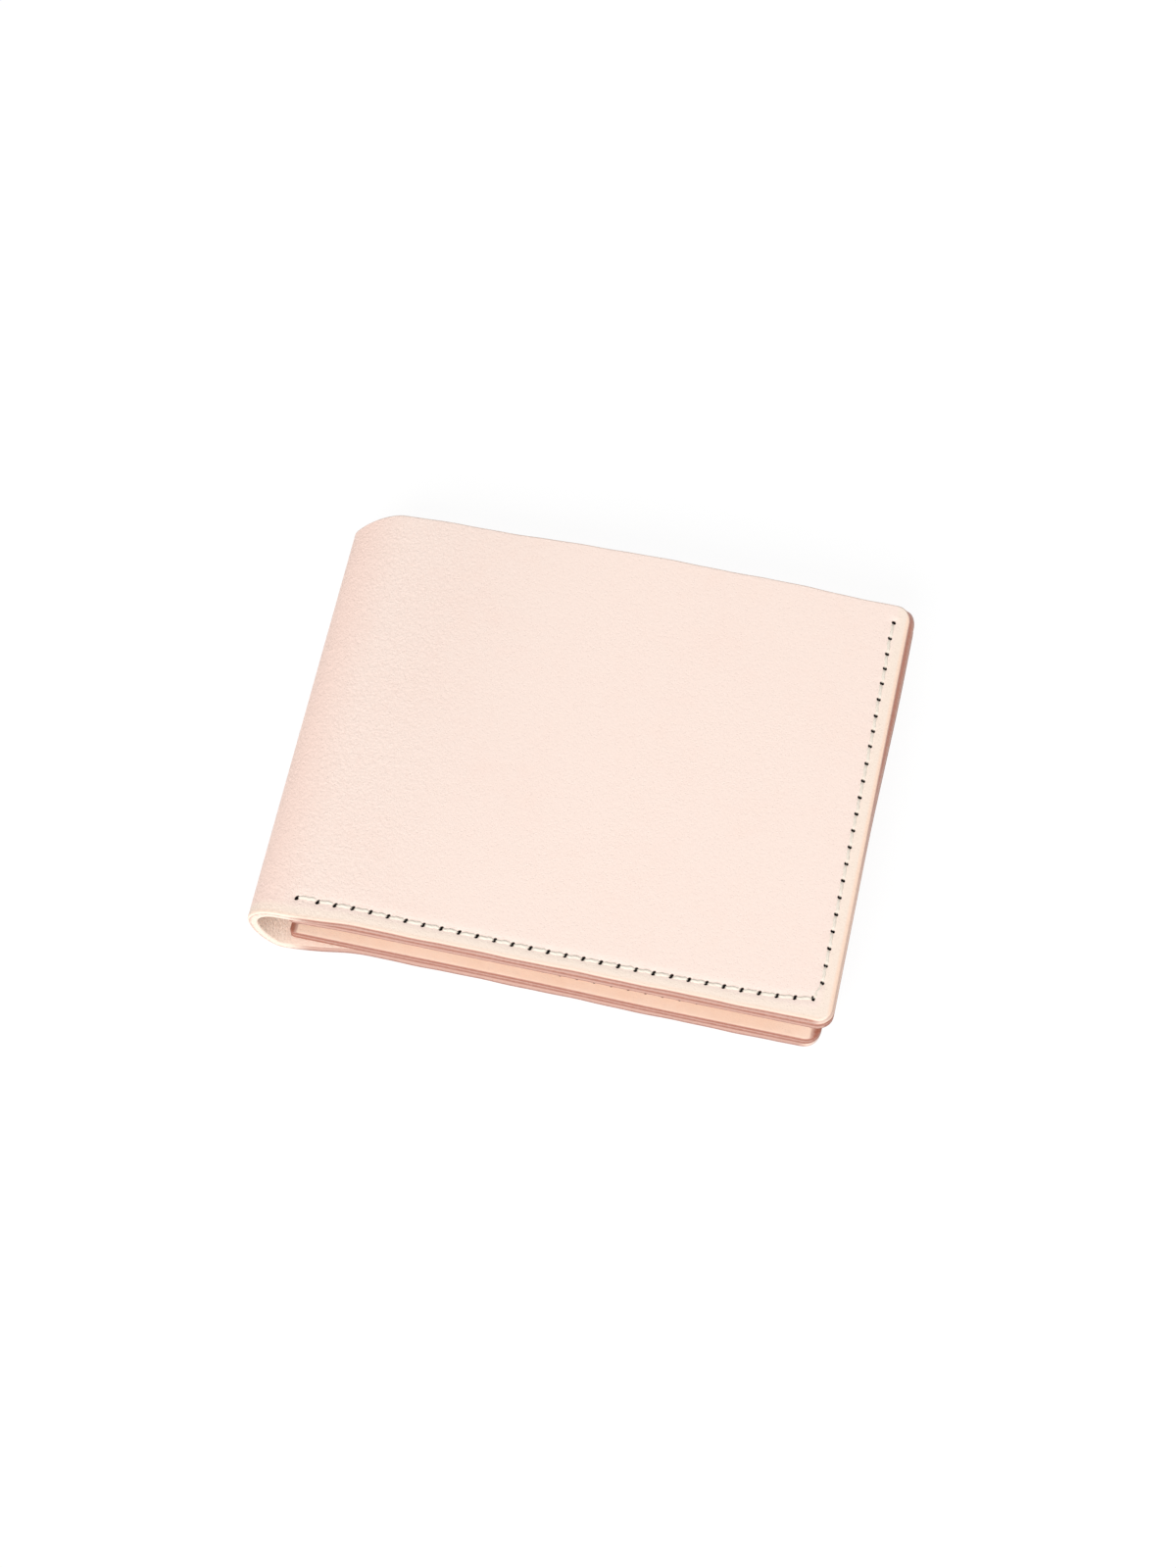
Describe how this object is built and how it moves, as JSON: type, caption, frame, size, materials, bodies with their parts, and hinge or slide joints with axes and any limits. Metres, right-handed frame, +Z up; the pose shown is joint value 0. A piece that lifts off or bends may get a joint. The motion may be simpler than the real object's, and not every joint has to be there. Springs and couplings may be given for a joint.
{
  "type": "bifold wallet",
  "caption": "Closed bifold wallet of natural leather with a rounded fold, saddle-stitched edges, a note compartment along its length and card pockets inside both leaves.",
  "frame": {"origin": "centre of the closed wallet's box on the surface that its back leaf lies on", "axes": "+X from the fold to the free edge, +Y from the sewn near edge to the open note mouth, +Z up through the closed leaves"},
  "size_m": [0.112, 0.088, 0.014],
  "materials": {
    "natural_leather": "natural vegetable-tanned, matt, smooth grain side out",
    "inner_leather": "thin natural vegetable-tanned, matt, burnished edges",
    "linen_thread": "waxed cream thread"
  },
  "bodies": {
    "back_half": {"cover_back": "natural_leather", "back_divider": "inner_leather", "back_upper_t_pocket": "inner_leather", "back_lower_t_pocket": "inner_leather", "back_card_pocket": "inner_leather", "back_edge_thread": "linen_thread", "back_fold_side_thread": "linen_thread", "back_upper_t_foot_thread": "linen_thread", "back_lower_t_foot_thread": "linen_thread"},
    "fold_lower_strip": {"cover_fold_lower": "natural_leather"},
    "fold_upper_strip": {"cover_fold_upper": "natural_leather"},
    "front_half": {"cover_front": "natural_leather", "front_divider": "inner_leather", "front_upper_t_pocket": "inner_leather", "front_lower_t_pocket": "inner_leather", "front_card_pocket": "inner_leather", "front_edge_thread": "linen_thread", "front_fold_side_thread": "linen_thread", "front_upper_t_foot_thread": "linen_thread", "front_lower_t_foot_thread": "linen_thread"}
  },
  "joints": [
    {"name": "fold_lower", "type": "hinge", "parent": "back_half", "child": "fold_lower_strip", "pos_m": [-0.05266, 0, 0.00065], "axis": [0, -1, 0], "range_deg": [0, 60]},
    {"name": "fold_middle", "type": "hinge", "parent": "fold_lower_strip", "child": "fold_upper_strip", "pos_m": [-0.05633, 0, 0.007], "axis": [0, -1, 0], "range_deg": [0, 60]},
    {"name": "fold_upper", "type": "hinge", "parent": "fold_upper_strip", "child": "front_half", "pos_m": [-0.05266, 0, 0.01335], "axis": [0, -1, 0], "range_deg": [0, 60]}
  ],
  "couplings": [
    {"joint": "fold_middle", "follows": "fold_lower", "ratio": 1},
    {"joint": "fold_upper", "follows": "fold_lower", "ratio": 1}
  ]
}
